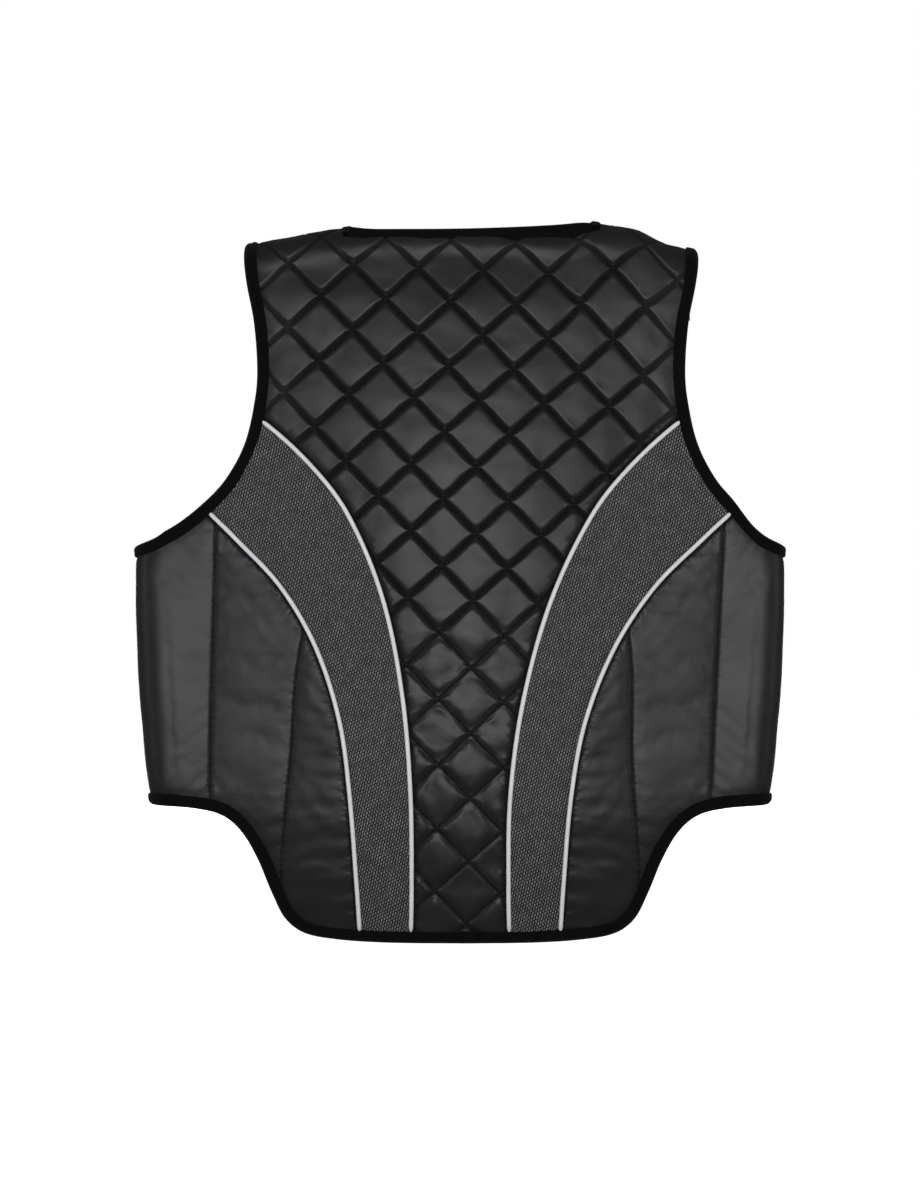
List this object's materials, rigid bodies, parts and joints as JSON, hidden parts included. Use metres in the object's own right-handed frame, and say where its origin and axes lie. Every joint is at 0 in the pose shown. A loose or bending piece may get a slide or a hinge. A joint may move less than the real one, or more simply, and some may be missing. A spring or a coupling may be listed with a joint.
{
  "type": "chest protector",
  "caption": "Sleeveless body protector vest: quilted foam back with a drop tail, mesh bands with reflective piping, hinged zip-up front halves, side flaps and shoulder tabs.",
  "frame": {"origin": "top of the hanging loop's bow, inside the back of the neck", "axes": "+Z towards the neck, +Y from the back towards the chest, +X towards the wearer's right"},
  "size_m": [0.5232, 0.1049, 0.5755],
  "materials": {
    "quilted_satin": "satin",
    "side_satin": "satin",
    "air_mesh": "open knit over a paler net",
    "reflective_piping": "reflective",
    "protective_foam": "closed cell foam",
    "lining_mesh": "matt knit",
    "edge_binding": "ribbed tape",
    "hook_and_loop": "pile",
    "label_cloth": "woven, blank",
    "zip_tape_cloth": "woven",
    "zip_plastic": "moulded",
    "zip_metal": "black enamel"
  },
  "bodies": {
    "back": {"back_quilted_shell": "quilted_satin", "back_center_foam": "protective_foam", "back_lining": "lining_mesh", "back_hem_binding": "edge_binding", "back_neck_binding": "edge_binding", "neck_label": "label_cloth", "hang_loop": "edge_binding", "left_back_mesh_panel": "air_mesh", "right_back_mesh_panel": "air_mesh", "left_back_side_panel": "side_satin", "right_back_side_panel": "side_satin", "left_back_piping": "reflective_piping", "right_back_piping": "reflective_piping", "left_shoulder_foam": "protective_foam", "right_shoulder_foam": "protective_foam", "left_back_side_foam": "protective_foam", "right_back_side_foam": "protective_foam", "left_back_armhole_binding": "edge_binding", "right_back_armhole_binding": "edge_binding", "left_shoulder_loop_tape": "hook_and_loop", "right_shoulder_loop_tape": "hook_and_loop", "left_side_fold": "side_satin", "right_side_fold": "side_satin"},
    "left_front": {"left_front_quilted_panel": "quilted_satin", "left_front_mesh_panel": "air_mesh", "left_front_side_panel": "side_satin", "left_front_piping": "reflective_piping", "left_front_foam": "protective_foam", "left_front_lining": "lining_mesh", "left_front_binding": "edge_binding", "left_side_loop_tape": "hook_and_loop", "left_zip_tape": "zip_tape_cloth", "left_zip_teeth": "zip_plastic", "zip_box": "zip_plastic"},
    "left_side_flap": {"left_side_flap_shell": "side_satin", "left_side_flap_binding": "edge_binding", "left_side_flap_hook_tape": "hook_and_loop"},
    "left_shoulder_tab": {"left_shoulder_tab": "edge_binding", "left_shoulder_tab_hook_tape": "hook_and_loop"},
    "right_front": {"right_front_quilted_panel": "quilted_satin", "right_front_mesh_panel": "air_mesh", "right_front_side_panel": "side_satin", "right_front_piping": "reflective_piping", "right_front_foam": "protective_foam", "right_front_lining": "lining_mesh", "right_front_binding": "edge_binding", "right_side_loop_tape": "hook_and_loop", "right_zip_tape": "zip_tape_cloth", "right_zip_teeth": "zip_plastic", "zip_insert_pin": "zip_plastic"},
    "right_side_flap": {"right_side_flap_shell": "side_satin", "right_side_flap_binding": "edge_binding", "right_side_flap_hook_tape": "hook_and_loop"},
    "right_shoulder_tab": {"right_shoulder_tab": "edge_binding", "right_shoulder_tab_hook_tape": "hook_and_loop"},
    "zip_slider": {"zip_slider": "zip_metal"},
    "zip_puller": {"zip_puller": "zip_metal"}
  },
  "joints": [
    {"name": "left_front_swing", "type": "hinge", "parent": "back", "child": "left_front", "pos_m": [-0.225, 0.00706, -0.432], "axis": [-0.057, 0, 0.9984], "range_deg": [0, 100], "deforming": ["left_side_fold"]},
    {"name": "left_side_flap_peel", "type": "hinge", "parent": "left_front", "child": "left_side_flap", "pos_m": [-0.225, 0.00706, -0.432], "axis": [-0.057, 0, 0.9984], "range_deg": [0, 60]},
    {"name": "left_shoulder_tab_peel", "type": "hinge", "parent": "left_front", "child": "left_shoulder_tab", "pos_m": [-0.1, 0.04843, -0.092], "axis": [-0.9895, -0.1445, 0], "range_deg": [0, 140]},
    {"name": "right_front_swing", "type": "hinge", "parent": "back", "child": "right_front", "pos_m": [0.225, 0.00706, -0.432], "axis": [-0.057, 0, -0.9984], "range_deg": [0, 100], "deforming": ["right_side_fold"]},
    {"name": "right_side_flap_peel", "type": "hinge", "parent": "right_front", "child": "right_side_flap", "pos_m": [0.225, 0.00706, -0.432], "axis": [-0.057, 0, -0.9984], "range_deg": [0, 60]},
    {"name": "right_shoulder_tab_peel", "type": "hinge", "parent": "right_front", "child": "right_shoulder_tab", "pos_m": [0.1, 0.04843, -0.092], "axis": [-0.9895, 0.1445, 0], "range_deg": [0, 140]},
    {"name": "zip_slider_slide", "type": "slide", "parent": "left_front", "child": "zip_slider", "axis": [0, 0, 1], "range_m": [0, 0.29]},
    {"name": "zip_puller_swing", "type": "hinge", "parent": "zip_slider", "child": "zip_puller", "pos_m": [0, 0.05786, -0.4055], "axis": [1, 0, 0], "range_deg": [0, 170]}
  ]
}
